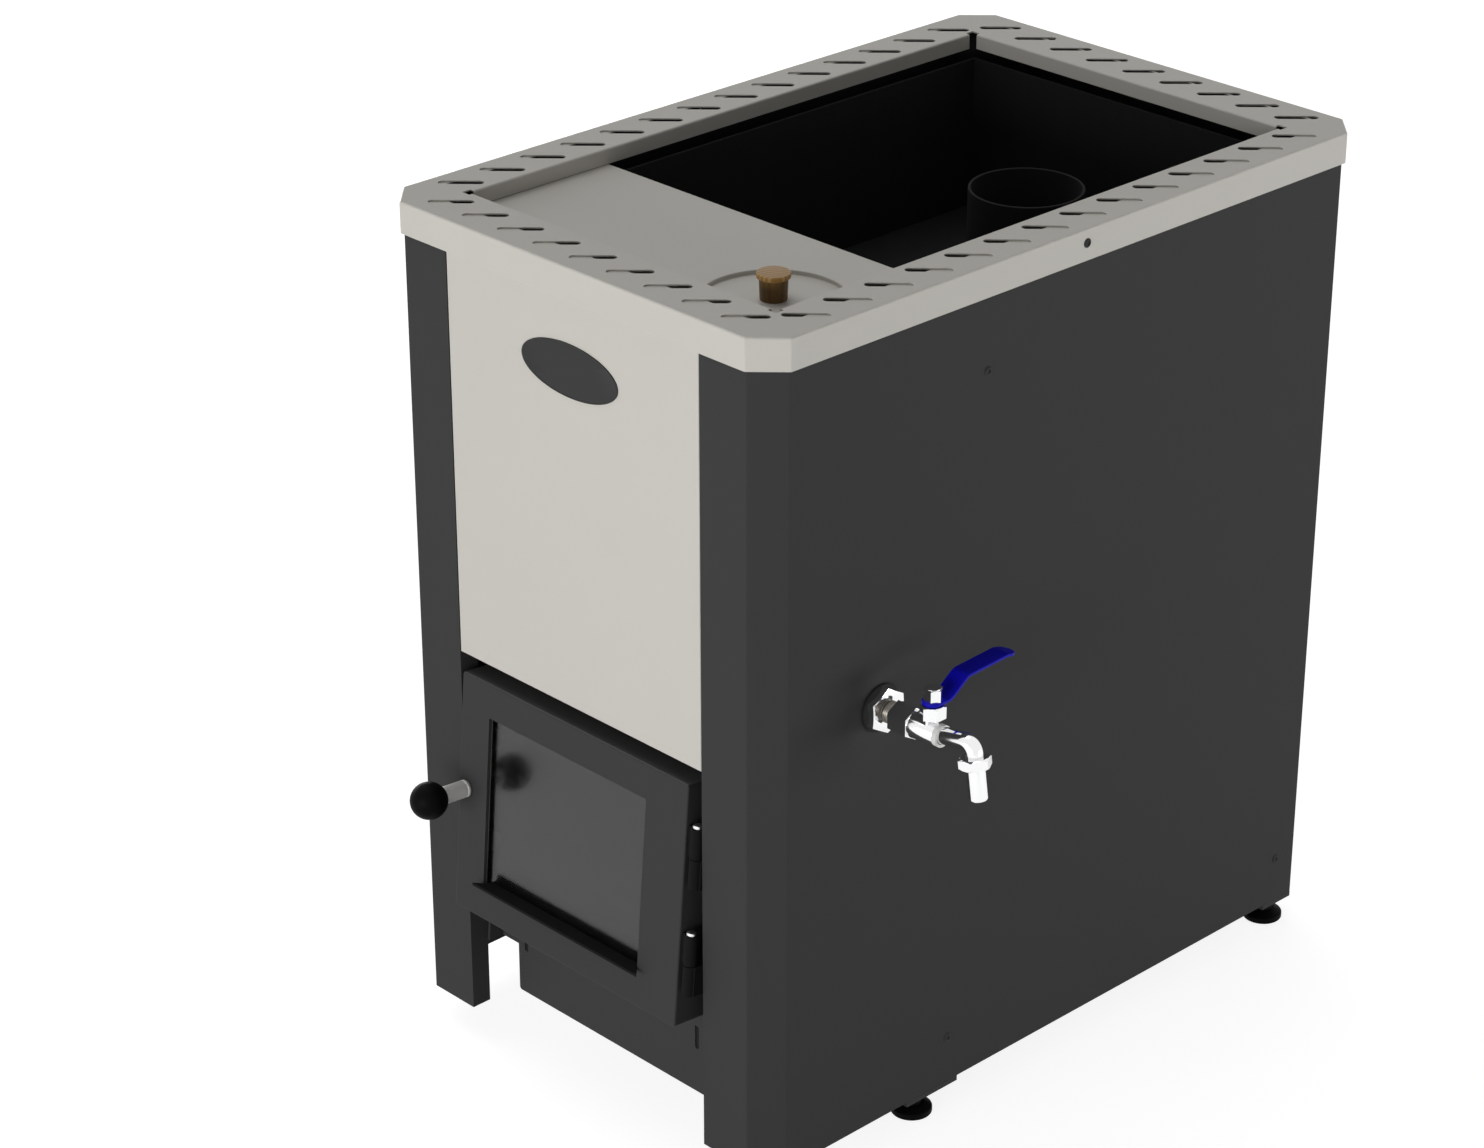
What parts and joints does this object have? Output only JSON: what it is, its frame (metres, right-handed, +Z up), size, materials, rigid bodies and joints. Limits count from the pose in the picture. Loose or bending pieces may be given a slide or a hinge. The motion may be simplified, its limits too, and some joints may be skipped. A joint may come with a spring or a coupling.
{
  "type": "wood-burning sauna stove",
  "caption": "Wood-burning sauna stove with a casing, stone compartment, flue collar, water tank with tap, leaning glazed door and ash drawer.",
  "frame": {"origin": "under the middle of the bounding box, on the floor", "axes": "+X to the right seen from the front, +Y from the front to the back, +Z up along the flue collar"},
  "size_m": [0.6314, 0.8532, 0.8743],
  "materials": {
    "casing_grey": "dark grey powder coat, fine texture",
    "cream_coat": "cream powder coat, satin",
    "black_steel": "matt black heat-resistant coat",
    "raw_black": "matt black inner coat",
    "cast": "rough casting",
    "pane": "smoky heat-resistant glass",
    "chrome": "polished chrome plate",
    "stainless": "satin stainless steel",
    "blue_lever": "gloss blue dipped coat",
    "seal": "matt black rubber",
    "fibre": "woven glass fibre tape",
    "white_seal": "smooth seat ring",
    "brass": "dull dark brass",
    "beech": "varnished turned wood",
    "ball_black": "black moulded ball",
    "zinc": "bright zinc plate"
  },
  "bodies": {
    "root": {"casing_left": "casing_grey", "casing_right": "casing_grey", "front_panel": "cream_coat", "back_panel": "casing_grey", "casing_screws": "black_steel", "casing_spacers": "zinc", "top_rim": "cream_coat", "tank_cover": "cream_coat", "water_tank": "stainless", "tank_socket": "stainless", "outlet_gasket": "seal", "outlet_locknut": "chrome", "tap_nipple": "brass", "tap_body": "chrome", "ball_seats": "white_seal", "tap_bonnet": "chrome", "tap_spout": "chrome", "spout_collar": "chrome", "hose_nozzle": "chrome", "body_shell": "raw_black", "tank_shelf": "raw_black", "stone_floor": "raw_black", "flue_collar": "raw_black", "firebox_floor": "raw_black", "grate": "cast", "ash_channel": "raw_black", "lower_front_plate": "black_steel", "door_frame": "black_steel", "hinge_brackets": "black_steel", "hinge_pins": "stainless", "base_bars": "black_steel", "foot_nuts": "zinc"},
    "door": {"door_pan": "black_steel", "door_knuckles": "black_steel", "door_glass": "pane", "glass_gasket": "fibre", "glass_rail": "black_steel", "glass_clips": "zinc", "clip_studs": "zinc", "clip_nuts": "zinc", "handle_bush": "black_steel"},
    "door_handle": {"handle_shaft": "stainless", "handle_sleeve": "stainless", "handle_ball": "ball_black", "shaft_collar": "black_steel", "latch_arm": "black_steel"},
    "ash_drawer": {"ash_drawer_front": "black_steel", "ash_tray": "raw_black"},
    "lid": {"tank_lid": "cream_coat", "lid_knob": "beech", "lid_knob_screw": "zinc"},
    "tap_handle": {"tap_lever": "blue_lever", "lever_nut": "chrome", "tap_stem": "chrome", "tap_ball": "chrome"},
    "foot_front_left": {"foot_front_left": "black_steel"},
    "foot_front_right": {"foot_front_right": "black_steel"},
    "foot_rear_left": {"foot_rear_left": "black_steel"},
    "foot_rear_right": {"foot_rear_right": "black_steel"}
  },
  "joints": [
    {"name": "door_swing", "type": "hinge", "parent": "root", "child": "door", "pos_m": [0.09111, -0.35676, 0.28951], "axis": [0, 0.082, 0.9966], "range_deg": [0, 105]},
    {"name": "handle_turn", "type": "hinge", "parent": "door", "child": "door_handle", "pos_m": [-0.21596, -0.36274, 0.29], "axis": [0, 0.9966, -0.082], "range_deg": [0, 90]},
    {"name": "ash_drawer_slide", "type": "slide", "parent": "root", "child": "ash_drawer", "axis": [0, -1, 0], "range_m": [0, 0.45]},
    {"name": "tank_lid_lift", "type": "slide", "parent": "root", "child": "lid", "axis": [0, 0, 1], "range_m": [0, 0.15]},
    {"name": "tap_turn", "type": "hinge", "parent": "root", "child": "tap_handle", "pos_m": [0.24557, -0.21402, 0.4959], "axis": [0, 0, -1], "range_deg": [0, 90]},
    {"name": "foot_front_left_level", "type": "slide", "parent": "root", "child": "foot_front_left", "axis": [0, 0, -1], "range_m": [0, 0.015]},
    {"name": "foot_front_right_level", "type": "slide", "parent": "root", "child": "foot_front_right", "axis": [0, 0, -1], "range_m": [0, 0.015]},
    {"name": "foot_rear_left_level", "type": "slide", "parent": "root", "child": "foot_rear_left", "axis": [0, 0, -1], "range_m": [0, 0.015]},
    {"name": "foot_rear_right_level", "type": "slide", "parent": "root", "child": "foot_rear_right", "axis": [0, 0, -1], "range_m": [0, 0.015]}
  ]
}
